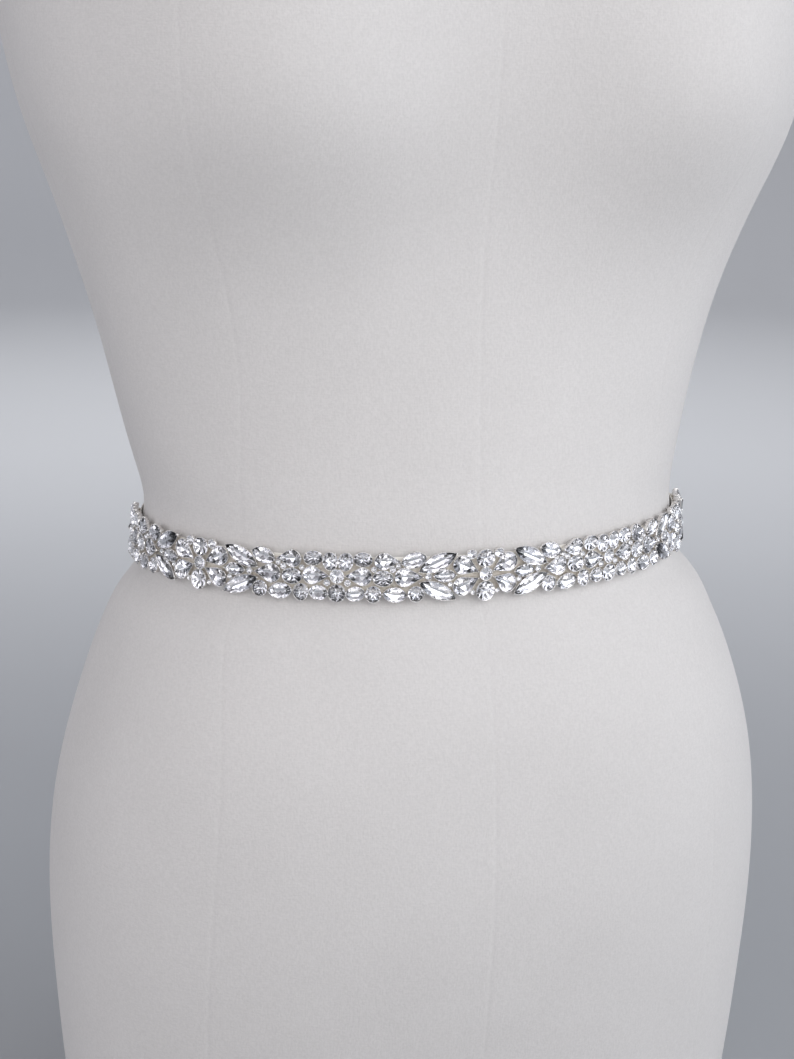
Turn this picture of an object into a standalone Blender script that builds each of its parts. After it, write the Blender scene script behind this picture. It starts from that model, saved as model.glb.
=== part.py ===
"""A crystal-trimmed bridal sash worn round the waist of a tabletop dress form.

Units are metres, +Z is up and the form faces -Y. It stands on its flat underside at Z = 0.
"""

import math
from collections import namedtuple

import bmesh
import bpy
import numpy as np

MM = 0.001

# --- Driving dimensions, in millimetres ---------------------------------------------------------

WAIST_HEIGHT = 300.0  # middle of the sash above the form's underside
BELT_ZONE = 10.0  # the form is straight this far above and below the waist
FORM_COLUMNS = 40
SEAT_GAP = 0.3  # between pieces that touch on the real thing

RIBBON_WIDTH = 14.4
RIBBON_THICKNESS = 1.0
RIBBON_STEP = 6.5  # length of one facet of the ribbon and the tape
LAP_LENGTH = 26.0  # how far the ribbon's ends overlap at the centre back
LAP_RISE = 24.0  # length over which the upper end climbs onto the lower one
LAP_FLAT = 1.5  # level stretch before the lower end is reached

TAPE_WIDTH = 13.6  # backing tape of the trim
TAPE_THICKNESS = 1.0
REPEAT = 55.0  # from a flower to the next blossom, half of the trim's mirrored repeat
REPEATS_A_SIDE = 4
TRIM_FIRST = -178.2  # from the centre front to where the crystals end on the form's right
TRIM_LAST = 144.6  # and on its left
TAPE_MARGIN = 0.8  # tape past the last crystal
STONE_SINK = 0.4  # how deep a setting is sunk into the tape
STONE_SIDES = 8

METAL = 0.5  # sheet that the fastening is bent from
BAR_LENGTH = 11.0
BAR_WIDTH = 2.6
BAR_FOOT = 2.2
BAR_SLOPE = 0.8  # run of the slant between a foot and the bridge
HOOK_WIDTH = 4.4
HOOK_PLATE = 9.0
HOOK_PLAY = 0.9  # room between the bar and the hook's fold

# --- The dress form -------------------------------------------------------------------------------

Section = namedtuple("Section", "height half_width front back front_square back_square")

# Heights are from the waist; front and back are depths from the form's own axis. The two last
# columns say how square each half of the section is: 2 is an ellipse.
SECTIONS = [
    Section(-300, 141.0, 85, 109, 2.2, 2.1),
    Section(-235, 148.5, 94, 118, 2.2, 2.1),
    Section(-185, 152.0, 102, 120, 2.2, 2.1),
    Section(-142, 153.0, 108, 116, 2.2, 2.1),
    Section(-100, 148.5, 109, 107, 2.25, 2.0),
    Section(-79, 144.0, 108, 100, 2.3, 2.0),
    Section(-56, 136.5, 104, 94, 2.25, 1.95),
    Section(-35, 128.5, 98, 89, 2.15, 1.95),
    Section(-22, 121.0, 93, 87, 2.1, 1.95),
    Section(-10, 112.5, 88, 86, 2.0, 2.0),
    Section(10, 110.5, 88, 86, 2.0, 2.0),
    Section(24, 112.0, 86, 90, 2.0, 2.3),
    Section(44, 116.5, 84, 97, 1.95, 2.55),
    Section(85, 126.0, 82, 110, 2.0, 2.7),
    Section(125, 138.0, 82, 118, 2.05, 2.75),
    Section(172, 154.0, 86, 123, 2.1, 2.7),
    Section(230, 165.0, 92, 122, 2.2, 2.6),
    Section(280, 170.0, 90, 118, 2.4, 2.5),
    Section(325, 169.0, 81, 109, 2.5, 2.5),
    Section(352, 162.0, 73, 101, 2.4, 2.4),
    Section(372, 141.0, 65, 92, 2.3, 2.3),
    Section(390, 106.0, 58, 81, 2.2, 2.2),
    Section(405, 72.0, 52, 70, 2.1, 2.1),
    Section(422, 57.0, 50, 60, 2.0, 2.0),
    Section(450, 52.0, 49, 54, 2.0, 2.0),
    Section(480, 51.0, 49, 52, 2.0, 2.0),
]

Bust = namedtuple("Bust", "height aside reach spread_aside spread_below spread_above side_fade")
BUST = Bust(
    height=182,
    aside=78,
    reach=29,
    spread_aside=60,
    spread_below=56,
    spread_above=84,
    side_fade=0.5,
)

# Heights of the form's rings: first, last, number of steps.
RING_RUNS = [(-300, -60, 7), (-60, -22, 3), (-22, -10, 1), (-10, 10, 1), (10, 44, 2), (44, 230, 11)]
RING_RUNS += [(230, 352, 4), (352, 405, 4), (405, 480, 3)]


def smooth_column(heights, column):
    """One column of SECTIONS read at any height, on a smooth curve through its rows."""
    rows = np.array([row.height for row in SECTIONS], float)
    values = np.array([getattr(row, column) for row in SECTIONS], float)
    slopes = np.gradient(values, rows)
    heights = np.clip(heights, rows[0], rows[-1])
    at = np.clip(np.searchsorted(rows, heights, side="right") - 1, 0, len(rows) - 2)
    step = rows[at + 1] - rows[at]
    t = (heights - rows[at]) / step
    start = (1 + 2 * t) * (1 - t) ** 2 * values[at] + t * (1 - t) ** 2 * step * slopes[at]
    end = t * t * (3 - 2 * t) * values[at + 1] + t * t * (t - 1) * step * slopes[at + 1]
    return start + end


def bust_swell(x, height, facing):
    """How far the bust stands out from the plain section, fading out round the side."""
    above = height > BUST.height
    spread = np.where(above, BUST.spread_above, BUST.spread_below)
    upright = np.exp(-(((height - BUST.height) / spread) ** 2))
    aside = sum(np.exp(-(((x - side * BUST.aside) / BUST.spread_aside) ** 2)) for side in (-1, 1))
    fade = np.clip(facing / BUST.side_fade, 0, 1)
    return BUST.reach * upright * aside * fade * fade * (3 - 2 * fade)


def form_point(angle, height):
    """x, y of the form's surface. Angle 0 is the centre front and it grows towards +X."""
    angle, height = np.broadcast_arrays(np.asarray(angle, float), np.asarray(height, float))
    sine, cosine = np.sin(angle), np.cos(angle)
    facing = cosine > 0
    width = smooth_column(height, "half_width")
    depth = np.where(facing, smooth_column(height, "front"), smooth_column(height, "back"))
    front_square = smooth_column(height, "front_square")
    back_square = smooth_column(height, "back_square")
    power = 2 / np.where(facing, front_square, back_square)
    x = width * np.sign(sine) * np.abs(sine) ** power
    y = -depth * np.sign(cosine) * np.abs(cosine) ** power
    across, along = x / width**2, y / depth**2
    swell = bust_swell(x, height, cosine) / np.hypot(across, along)
    return x + swell * across, y + swell * along


def ring_heights():
    heights = [RING_RUNS[0][0]]
    for first, last, steps in RING_RUNS:
        heights += [first + (last - first) * (i + 1) / steps for i in range(steps)]
    return heights


def depth_shift():
    """Moves the form along Y so that the middle of its depth stands over the origin."""
    angles = np.linspace(-math.pi, math.pi, FORM_COLUMNS, endpoint=False)
    depths = [form_point(angles, height)[1] for height in ring_heights()]
    return -(np.max(depths) + np.min(depths)) / 2


DEPTH_SHIFT = depth_shift()

# --- The band round the waist -----------------------------------------------------------------------

WAIST_ANGLES = np.linspace(-math.pi, math.pi, 1441)


def waist_curves():
    """The form's section at the belt zone's two edges, the length along their middle and its normals."""
    low = np.column_stack(form_point(WAIST_ANGLES, -BELT_ZONE))
    high = np.column_stack(form_point(WAIST_ANGLES, BELT_ZONE))
    middle = (low + high) / 2
    lengths = np.concatenate([[0], np.cumsum(np.hypot(*np.diff(middle, axis=0).T))])
    run = np.gradient(middle, axis=0)
    run[0] = run[-1] = run[0] + run[-1]
    normals = np.column_stack([run[:, 1], -run[:, 0]])
    normals /= np.hypot(*normals.T)[:, None]
    return low, high, lengths - lengths[-1] / 2, normals


LOW_CURVE, HIGH_CURVE, WAIST_LENGTHS, WAIST_NORMALS = waist_curves()
HALF_GIRTH = WAIST_LENGTHS[-1]


def on_waist(along, up, out):
    """A point in metres: along the waist from the centre front, up from its middle, out from the form."""
    wrapped = (along + HALF_GIRTH) % (2 * HALF_GIRTH) - HALF_GIRTH
    share = (up + BELT_ZONE) / (2 * BELT_ZONE)
    place = []
    for axis in (0, 1):
        low = np.interp(wrapped, WAIST_LENGTHS, LOW_CURVE[:, axis])
        high = np.interp(wrapped, WAIST_LENGTHS, HIGH_CURVE[:, axis])
        normal = np.interp(wrapped, WAIST_LENGTHS, WAIST_NORMALS[:, axis])
        place.append(low + (high - low) * share + normal * out)
    return (place[0] * MM, (place[1] + DEPTH_SHIFT) * MM, (WAIST_HEIGHT + up) * MM)


RIBBON_OUT = SEAT_GAP
TAPE_OUT = RIBBON_OUT + RIBBON_THICKNESS + SEAT_GAP
TONGUE_OUT = TAPE_OUT
BRIDGE_OUT = TONGUE_OUT + METAL + SEAT_GAP
HOOK_OUT = BRIDGE_OUT + METAL + SEAT_GAP
LAP_OUT = HOOK_OUT + METAL + SEAT_GAP

# --- The crystals -----------------------------------------------------------------------------------

Stone = namedtuple("Stone", "cut along up length width turn")

# Half of the trim's repeat, from the flower's middle (along 0) to the blossom's (along REPEAT).
# Turn is the long axis in degrees from the band's run; a pear's tip points that way.
FLOWER_COLUMN = [
    Stone("round", 0.0, 0.0, 5.2, 5.2, 0),
    Stone("oval", 0.0, 6.2, 7.4, 7.0, 0),
    Stone("oval", 0.0, -6.6, 7.8, 7.4, 90),
]
BLOSSOM_COLUMN = [
    Stone("round", 55.0, 0.1, 5.4, 5.4, 0),
    Stone("round", 55.0, -6.4, 6.8, 6.8, 0),
]
HALF_REPEAT = [
    # the flower's petals and a seed between two of them
    Stone("pear", 7.5, 3.4, 10.6, 7.4, 206),
    Stone("pear", 7.4, -3.6, 10.6, 7.4, 153),
    Stone("round", 5.3, 8.0, 3.6, 3.6, 0),
    # the leaf pair, open towards the flower, with a bud between
    Stone("marquise", 18.2, 5.4, 16.0, 6.4, 154),
    Stone("marquise", 18.2, -5.4, 16.0, 6.4, 206),
    Stone("marquise", 15.6, 0.0, 8.8, 4.8, 0),
    # upper row, its last oval a petal of the blossom
    Stone("marquise", 27.0, 6.6, 10.0, 6.2, 163),
    Stone("pear", 37.0, 6.3, 10.0, 6.8, 184),
    Stone("oval", 45.8, 6.9, 7.2, 5.8, 6),
    Stone("oval", 52.1, 5.9, 7.2, 5.8, 98),
    # middle row
    Stone("pear", 28.8, 0.0, 10.8, 7.4, 180),
    Stone("oval", 38.2, -0.4, 7.8, 6.2, 0),
    Stone("pear", 47.2, 0.3, 10.2, 7.0, 0),
    # lower row
    Stone("round", 26.1, -6.5, 6.2, 6.2, 0),
    Stone("marquise", 34.0, -6.6, 9.6, 6.2, 8),
    Stone("oval", 41.8, -6.5, 6.6, 6.0, 90),
    Stone("marquise", 48.3, -6.4, 7.6, 5.8, 173),
]

# Height of the stone's girdle and of its flat table above the tape.
GIRDLE_RISE = 1.3
TABLE_RISE = 2.4
FOOT_SHARE = 0.86  # size of the setting's foot against the girdle
TABLE_SHARE = 0.55  # size of the table against the girdle
MARQUISE_POWER = 1.4  # how far a marquise's sides are drawn in towards its tips; an ellipse has 1


def girdle(stone):
    """The stone's outline about its own middle, anticlockwise, with its long axis along X."""
    half_length, half_width = stone.length / 2, stone.width / 2
    if stone.cut == "pear":
        bowl = half_width - half_length  # middle of its round end
        meets = math.acos(half_width / (half_length - bowl))  # where the straight sides leave the bowl
        turns = np.linspace(meets, 2 * math.pi - meets, STONE_SIDES - 1)
        bowl_points = [
            (bowl + half_width * math.cos(t), half_width * math.sin(t)) for t in turns
        ]
        return [(half_length, 0.0)] + bowl_points
    turns = [2 * math.pi * i / STONE_SIDES for i in range(STONE_SIDES)]
    if stone.cut == "marquise":
        return [
            (
                half_length * math.cos(t),
                half_width * math.copysign(abs(math.sin(t)) ** MARQUISE_POWER, math.sin(t)),
            )
            for t in turns
        ]
    return [(half_length * math.cos(t), half_width * math.sin(t)) for t in turns]


def outline(stone, share=1.0):
    """The girdle, scaled by share and turned, as points along and up from the stone's middle."""
    turn = math.radians(stone.turn)
    cosine, sine = math.cos(turn) * share, math.sin(turn) * share
    return [(x * cosine - y * sine, x * sine + y * cosine) for x, y in girdle(stone)]


def mirrored(stone, centre):
    """The same stone on the other side of a column of the trim."""
    return stone._replace(along=2 * centre - stone.along, turn=180 - stone.turn)


def trim_layout():
    """Every stone of the trim: the mirrored repeat, cut off where the trim ends on each side."""
    half = []
    for repeat in range(REPEATS_A_SIDE):
        start = repeat * REPEAT
        outward = repeat % 2 == 0
        for stone in HALF_REPEAT + (BLOSSOM_COLUMN if outward else FLOWER_COLUMN):
            if outward:
                placed = stone._replace(along=stone.along + start)
            else:
                placed = mirrored(stone, REPEAT / 2)
                placed = placed._replace(along=placed.along + start)
            half.append(placed)
    whole = FLOWER_COLUMN + half + [mirrored(stone, 0) for stone in half]
    return [
        stone
        for stone in whole
        if TRIM_FIRST <= stone.along - stone.length / 2
        and stone.along + stone.length / 2 <= TRIM_LAST
    ]


# --- Meshes -----------------------------------------------------------------------------------------


def clear_scene():
    for old in list(bpy.data.objects):
        bpy.data.objects.remove(old, do_unlink=True)


def make_material(name, colour, roughness, metallic=0.0):
    material = bpy.data.materials.new(name)
    material.use_nodes = True
    shader = material.node_tree.nodes["Principled BSDF"]
    shader.inputs["Base Color"].default_value = (*colour, 1)
    shader.inputs["Roughness"].default_value = roughness
    shader.inputs["Metallic"].default_value = metallic
    return material


def make_object(name, points, faces, material, smooth_angle=None):
    mesh = bpy.data.meshes.new(name)
    mesh.from_pydata(points, [], faces)
    shape = bmesh.new()
    shape.from_mesh(mesh)
    bmesh.ops.recalc_face_normals(shape, faces=shape.faces)
    shape.to_mesh(mesh)
    shape.free()
    if smooth_angle is not None:
        mesh.shade_smooth()
        mesh.set_sharp_from_angle(angle=math.radians(smooth_angle))
    mesh.materials.append(material)
    made = bpy.data.objects.new(name, mesh)
    bpy.context.scene.collection.objects.link(made)
    return made


def loft(rings, closed_round=False):
    """Faces of a closed body through equal rings of points, with end caps unless it closes on itself."""
    count, size = len(rings), len(rings[0])
    faces = []
    for i in range(count if closed_round else count - 1):
        here, after = i * size, (i + 1) % count * size
        for j in range(size):
            k = (j + 1) % size
            faces.append((here + j, here + k, after + k, after + j))
    if not closed_round:
        faces.append(tuple(reversed(range(size))))
        faces.append(tuple((count - 1) * size + j for j in range(size)))
    return faces


def strip_body(name, stations, half_width, thickness, material):
    """A flat strip bent round the waist. Stations are (along, out) of its inner side."""
    rings = []
    for along, out in stations:
        corners = [(-half_width, out), (half_width, out)]
        corners += [(half_width, out + thickness), (-half_width, out + thickness)]
        rings.append([on_waist(along, up, away) for up, away in corners])
    points = [point for ring in rings for point in ring]
    return make_object(name, points, loft(rings), material, smooth_angle=30)


def steps_between(first, last):
    return np.linspace(first, last, max(2, math.ceil((last - first) / RIBBON_STEP) + 1))


def dress_form():
    material = make_material("cover_cloth", (0.72, 0.71, 0.71), 0.85)
    angles = np.linspace(-math.pi, math.pi, FORM_COLUMNS, endpoint=False)
    rings = []
    for height in ring_heights():
        x, y = form_point(angles, height)
        z = (height + WAIST_HEIGHT) * MM
        rings.append([(a * MM, (b + DEPTH_SHIFT) * MM, z) for a, b in zip(x, y)])
    points = [point for ring in rings for point in ring]
    return make_object("dress_form", points, loft(rings), material, smooth_angle=50)


def satin_ribbon():
    """One strip: its lower end lies on the form and its upper end climbs over it at the centre back."""
    material = make_material("satin", (0.84, 0.82, 0.79), 0.35)
    end = HALF_GIRTH + LAP_LENGTH / 2
    climb_end = HALF_GIRTH - LAP_LENGTH / 2 - LAP_FLAT
    stations = []
    for along in steps_between(-end, end):
        share = min(max((along - climb_end + LAP_RISE) / LAP_RISE, 0), 1)
        climb = share * share * (3 - 2 * share)
        stations.append((along, RIBBON_OUT + (LAP_OUT - RIBBON_OUT) * climb))
    return strip_body("satin_ribbon", stations, RIBBON_WIDTH / 2, RIBBON_THICKNESS, material)


def stone_rings(stone):
    """A setting and its crystal as rings of points: the sunk foot, the girdle and the table."""
    levels = [(TAPE_THICKNESS - STONE_SINK, FOOT_SHARE), (TAPE_THICKNESS + GIRDLE_RISE, 1.0)]
    levels.append((TAPE_THICKNESS + TABLE_RISE, TABLE_SHARE))
    rings = []
    for rise, share in levels:
        ring = [
            on_waist(stone.along + x, stone.up + y, TAPE_OUT + rise)
            for x, y in outline(stone, share)
        ]
        rings.append(ring)
    return rings


def crystal_trim():
    """The backing tape with every crystal raised from it."""
    material = make_material("crystal", (0.86, 0.87, 0.9), 0.08, metallic=0.6)
    points, faces = [], []
    for stone in trim_layout():
        rings = stone_rings(stone)
        first = len(points)
        points += [point for ring in rings for point in ring]
        faces += [tuple(first + corner for corner in face) for face in loft(rings)]
    stones = make_object("trim_stones", points, faces, material)
    stones.hide_render = True
    stones.display_type = "WIRE"
    ends = (TRIM_FIRST - TAPE_MARGIN, TRIM_LAST + TAPE_MARGIN)
    stations = [(along, TAPE_OUT) for along in steps_between(*ends)]
    tape = strip_body("crystal_trim", stations, TAPE_WIDTH / 2, TAPE_THICKNESS, material)
    join = tape.modifiers.new("raise_stones", "BOOLEAN")
    join.operation = "UNION"
    join.solver = "EXACT"
    join.object = stones
    return tape


def bent_metal(name, profile, first, last, material, upright=False):
    """A bent strip: its (run, out) profile at the centre back, carried from first to last.

    The profile runs along the band and the strip is as wide as first to last up it, or the
    other way round if it is upright.
    """
    rings = []
    for side in (first, last):
        ring = []
        for run, out in profile:
            along, up = (side, run) if upright else (run, side)
            ring.append(on_waist(HALF_GIRTH + along, up, out))
        rings.append(ring)
    points = [point for ring in rings for point in ring]
    return make_object(name, points, loft(rings), material)


def closure_bar(material):
    """Two feet on the under lap and a bridge between them."""
    half = BAR_LENGTH / 2
    shoulder = half - BAR_FOOT
    under = [(-half, TONGUE_OUT), (-shoulder, TONGUE_OUT), (BAR_SLOPE - shoulder, BRIDGE_OUT)]
    under += [(shoulder - BAR_SLOPE, BRIDGE_OUT), (shoulder, TONGUE_OUT), (half, TONGUE_OUT)]
    over = [(run, out + METAL) for run, out in reversed(under)]
    half_width = BAR_WIDTH / 2
    return bent_metal("closure_bar", under + over, -half_width, half_width, material, upright=True)


def closure_hook(material):
    """A plate under the upper lap, folded back on itself into a tongue that passes under the bar."""
    fold = BAR_WIDTH / 2 + HOOK_PLAY
    tongue_end = -BAR_WIDTH / 2 - HOOK_PLAY
    plate_end = fold - HOOK_PLATE
    profile = [
        (fold + METAL, TONGUE_OUT),
        (fold + METAL, HOOK_OUT + METAL),
        (plate_end, HOOK_OUT + METAL),
        (plate_end, HOOK_OUT),
        (fold, HOOK_OUT),
        (fold, TONGUE_OUT + METAL),
        (tongue_end, TONGUE_OUT + METAL),
        (tongue_end, TONGUE_OUT),
    ]
    return bent_metal("closure_hook", profile, -HOOK_WIDTH / 2, HOOK_WIDTH / 2, material)


def main():
    clear_scene()
    dress_form()
    satin_ribbon()
    crystal_trim()
    steel = make_material("plated_steel", (0.62, 0.62, 0.63), 0.25, metallic=1.0)
    closure_bar(steel)
    closure_hook(steel)


main()
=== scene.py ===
import math

import bpy
import numpy as np
from mathutils import Matrix, Vector


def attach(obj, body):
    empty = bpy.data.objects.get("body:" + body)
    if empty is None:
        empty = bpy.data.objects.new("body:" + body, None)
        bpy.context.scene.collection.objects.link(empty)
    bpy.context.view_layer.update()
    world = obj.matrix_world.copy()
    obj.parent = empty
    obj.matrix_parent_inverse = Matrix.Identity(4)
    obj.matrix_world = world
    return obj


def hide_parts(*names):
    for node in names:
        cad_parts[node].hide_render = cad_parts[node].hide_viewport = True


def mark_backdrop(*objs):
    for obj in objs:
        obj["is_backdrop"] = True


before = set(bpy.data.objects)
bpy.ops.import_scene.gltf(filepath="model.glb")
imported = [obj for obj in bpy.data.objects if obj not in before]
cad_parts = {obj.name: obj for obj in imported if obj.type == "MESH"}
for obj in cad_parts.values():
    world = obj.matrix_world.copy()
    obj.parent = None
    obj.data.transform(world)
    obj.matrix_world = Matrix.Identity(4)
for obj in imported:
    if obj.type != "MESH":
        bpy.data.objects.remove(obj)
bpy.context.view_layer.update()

# A crystal-trimmed bridal sash on a padded, fabric-covered dress form.
# The form's fine surface and the line of its waist are read from the frame; lengths below are in
# millimetres where a name says so, and metres otherwise.

mm = 0.001


def linear(hexColour):
    parts = [int(hexColour[i:i + 2], 16) / 255 for i in (1, 3, 5)]
    return tuple(c / 12.92 if c <= 0.04045 else ((c + 0.055) / 1.055) ** 2.4 for c in parts) + (1.0,)


def setInputs(tree, node, inputs):
    # an input takes a value, a socket of another node, or another node, which stands for its first output
    for socket, value in inputs.items():
        if isinstance(value, bpy.types.Node):
            value = value.outputs[0]
        if isinstance(value, bpy.types.NodeSocket):
            tree.links.new(value, node.inputs[socket])
        else:
            node.inputs[socket].default_value = value


def addNode(tree, kind, inputs=None, ramp=None, **settings):
    # ramp is ((position, colour), (position, colour)) for a node with a colour ramp
    node = tree.nodes.new("ShaderNode" + kind)
    for name, value in settings.items():
        setattr(node, name, value)
    for stop, (position, colour) in zip(node.color_ramp.elements, ramp) if ramp else ():
        stop.position, stop.color = position, linear(colour)
    setInputs(tree, node, inputs or {})
    return node


def startMaterial(name, colour, **sockets):
    material = bpy.data.materials.new(name)
    material.use_nodes = True
    shader = material.node_tree.nodes["Principled BSDF"]
    shader.inputs["Base Color"].default_value = linear(colour)
    for socket, value in sockets.items():
        shader.inputs[socket.replace("_", " ")].default_value = value
    return material, material.node_tree, shader


def addMesh(name, points, faces, materials, slots=None, smooth=True, layout=None):
    mesh = bpy.data.meshes.new(name)
    mesh.from_pydata([tuple(p) for p in points], [], faces)
    for material in materials:
        mesh.materials.append(material)
    if slots is not None:
        mesh.polygons.foreach_set("material_index", slots)
    mesh.polygons.foreach_set("use_smooth", [smooth] * len(mesh.polygons))
    if layout is not None:  # one (across, along) pair for each point, in metres
        corners = np.zeros(len(mesh.loops), int)
        mesh.loops.foreach_get("vertex_index", corners)
        mesh.uv_layers.new(name="cloth").data.foreach_set("uv", np.asarray(layout)[corners].ravel())
    mesh.update()
    piece = bpy.data.objects.new(name, mesh)
    bpy.context.scene.collection.objects.link(piece)
    return piece


def ringFaces(rows, columns, first=0):
    # the faces between closed rings of points
    faces = []
    for i in range(rows - 1):
        low, high = first + i * columns, first + (i + 1) * columns
        for j in range(columns):
            k = (j + 1) % columns
            faces.append((low + j, low + k, high + k, high + j))
    return faces


def splineSlopes(knots, values, looped, ends):
    # slopes that make a cubic through the knots bend without a break
    count = len(knots)
    step = np.diff(knots)
    rise = np.diff(values, axis=0) / step[:, None]
    system = np.zeros((count, count))
    target = np.zeros_like(values)
    for i in range(count):
        before, after = i - 1, i
        if looped:
            before, after = (i - 1) % (count - 1), i % (count - 1)
        elif i in (0, count - 1):
            side = 0 if i == 0 else -1
            if ends[side] is None:  # no slope is asked for, so the curve ends without a bend
                system[i, i], system[i, 1 if i == 0 else count - 2] = 2, 1
                target[i] = 3 * rise[side]
            else:
                system[i, i], target[i] = 1, ends[side]
            continue
        left, right = 1 / step[before], 1 / step[after]
        system[i, before] += left
        system[i, i] += 2 * (left + right)
        system[i, after + 1] += right
        target[i] = 3 * (rise[before] * left + rise[after] * right)
    if looped:
        system[count - 1] = 0
        system[count - 1, [0, count - 1]] = (1, -1)
        target[count - 1] = 0
    return np.linalg.solve(system, target)


def splineThrough(knots, values, places, looped=False, ends=(None, None)):
    slopes = splineSlopes(knots, values, looped, ends)
    at = np.clip(np.searchsorted(knots, places, side="right") - 1, 0, len(knots) - 2)
    step = (knots[at + 1] - knots[at])[:, None]
    t = ((places - knots[at])[:, None]) / step
    start = (1 + 2 * t) * (1 - t) ** 2 * values[at] + t * (1 - t) ** 2 * step * slopes[at]
    return start + t * t * (3 - 2 * t) * values[at + 1] + t * t * (t - 1) * step * slopes[at + 1]


def lengthAlong(points):
    # how far along the line each of its points lies
    return np.concatenate([[0], np.cumsum(np.hypot(*np.diff(points, axis=0).T))])


# ---- the form's surface, from the rings of its solid

formShape = {
    "straightLow": 0.290,  # the waist is straight between these two heights
    "straightHigh": 0.310,
    "samples": 720,  # points round each fine ring
    "heightDigits": 5,  # the solid's points are sorted into rings by their height, then round each ring
    "heightSlack": 2e-5,
    "turnDigits": 4,
    "turnSlack": 1e-3,
}


def readRings():
    shape = formShape
    points = np.array([v.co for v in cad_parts["dress_form"].data.vertices], float)
    heights = np.unique(np.round(points[:, 2], shape["heightDigits"]))
    rings = []
    for height in heights:
        ring = points[np.abs(points[:, 2] - height) < shape["heightSlack"]]
        turn = np.arctan2(ring[:, 0], ring[:, 1].mean() - ring[:, 1])
        turn = np.where(turn > math.pi - shape["turnSlack"], turn - 2 * math.pi, turn)
        _, order = np.unique(np.round(turn, shape["turnDigits"]), return_index=True)
        rings.append(ring[order, :2])
    return heights, np.array(rings)


ringHeights, ringPoints = readRings()
ringColumns = ringPoints.shape[1]


def ringsAt(heights):
    # the ring's points at any height: straight in the waist, a smooth curve above and below it
    table = ringPoints.reshape(len(ringHeights), -1)
    low = int(np.argmin(np.abs(ringHeights - formShape["straightLow"])))
    high = int(np.argmin(np.abs(ringHeights - formShape["straightHigh"])))
    slope = (table[high] - table[low]) / (ringHeights[high] - ringHeights[low])
    heights = np.asarray(heights, float)
    below = splineThrough(ringHeights[:low + 1], table[:low + 1], np.minimum(heights, ringHeights[low]),
                          ends=(None, slope))
    above = splineThrough(ringHeights[high:], table[high:], np.maximum(heights, ringHeights[high]),
                          ends=(slope, None))
    share = np.clip((heights - ringHeights[low]) / (ringHeights[high] - ringHeights[low]), 0, 1)[:, None]
    straight = table[low] + (table[high] - table[low]) * share
    mixed = np.where(heights[:, None] <= ringHeights[low], below, straight)
    mixed = np.where(heights[:, None] >= ringHeights[high], above, mixed)
    return mixed.reshape(len(heights), ringColumns, 2)


def fineRing(ring):
    # (points, length along, turn): a closed smooth curve through one ring, measured from the centre front
    closed = np.vstack([ring, ring[:1]])
    chord = lengthAlong(closed)
    places = np.linspace(0, chord[-1], formShape["samples"] + 1)
    curve = splineThrough(chord, closed, places, looped=True)
    along = lengthAlong(curve)
    turn = np.interp(places, chord, np.linspace(-180, 180, ringColumns + 1))
    return curve, along - np.interp(0, turn, along), turn


print("frame read:", len(ringHeights), "rings of the form")

# ---- the waist, which the sash follows

waistLow, waistHigh = (fineRing(r) for r in ringsAt([formShape["straightLow"], formShape["straightHigh"]]))
waistMiddle = (waistLow[0] + waistHigh[0]) / 2
waistRun = np.gradient(waistMiddle, axis=0)
waistRun[0] = waistRun[-1] = waistRun[0] + waistRun[-1]
waistOut = np.column_stack([waistRun[:, 1], -waistRun[:, 0]])
waistOut /= np.hypot(*waistOut.T)[:, None]
waistAlong = lengthAlong(waistMiddle) / mm
waistAlong -= waistAlong[-1] / 2
halfGirth = waistAlong[-1]
waistHeight = (formShape["straightLow"] + formShape["straightHigh"]) / 2
zoneHalf = (formShape["straightHigh"] - formShape["straightLow"]) / 2 / mm


def onWaist(along, up, out):
    # millimetres along from the centre front, up from the waist and out from the form, to metres
    along, up, out = np.broadcast_arrays(*(np.asarray(v, float) for v in (along, up, out)))
    wrapped = (along + halfGirth) % (2 * halfGirth) - halfGirth
    share = (up + zoneHalf) / (2 * zoneHalf)
    place = np.empty(along.shape + (3,))
    for axis in (0, 1):
        low = np.interp(wrapped, waistAlong, waistLow[0][:, axis])
        high = np.interp(wrapped, waistAlong, waistHigh[0][:, axis])
        away = np.interp(wrapped, waistAlong, waistOut[:, axis])
        place[..., axis] = low + (high - low) * share + away * out * mm
    place[..., 2] = waistHeight + up * mm
    return place


# ---- dress form: padded body under a sewn, stretched cover

formCover = {
    "rowStepMm": 4.0,
    "seamDepthMm": 0.12,
    "seamHalfWidthMm": 0.9,
    "seamWeight": (1.0, 1.0, 1.7, 1.9, 1.9),  # the side and back seams are lapped, so they lie deeper
    "seamFadeMm": 10.0,
    "neckSeamMm": 712,
    "neckSeamRows": (-1.6, -0.8, 0.0, 0.8, 1.6),
    "neckSeamWeight": 1.8,
    "panelCrownMm": 0.10,  # how far a panel stands out between its seams
    "waistFadeMm": 16.0,  # the sash holds the panels flat this close to the waist
    "nearSeamMm": (0.55, 1.1, 2.0, 3.6),  # columns close to each seam
    "panelColumns": (18, 16, 16, 18),  # from the centre front to the centre back, on each side
    "edgeRoundMm": 4.0,
    "capShares": (0.9, 0.6, 0.3),  # rings inside the rim of the underside and of the top
    "capCrownMm": 1.5,
}
# Where the seams run, in degrees round from the centre front.
seamRows = [
    # mm above the base, front seam, side seam, back seam
    (0, 44.5, 92, 138),
    (50, 43.4, 92, 137),
    (160, 41.8, 91, 137),
    (240, 43.8, 90, 134),
    (300, 51.0, 90, 129),
    (360, 46.0, 90, 133),
    (440, 41.8, 90, 137),
    (550, 39.5, 90, 139),
    (640, 40.5, 90, 138),
    (672, 44.0, 90, 135),
    (690, 58.0, 90, 122),
    (705, 64.0, 90, 116),
    (780, 64.0, 90, 116),
]
# Which stretch of each seam line is really sewn, in mm above the base.
sewnStretch = {"centre": (0, 712), "front": (0, 690), "side": (0, 545), "back": (0, 690),
               "shoulder": (655, 712)}


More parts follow.
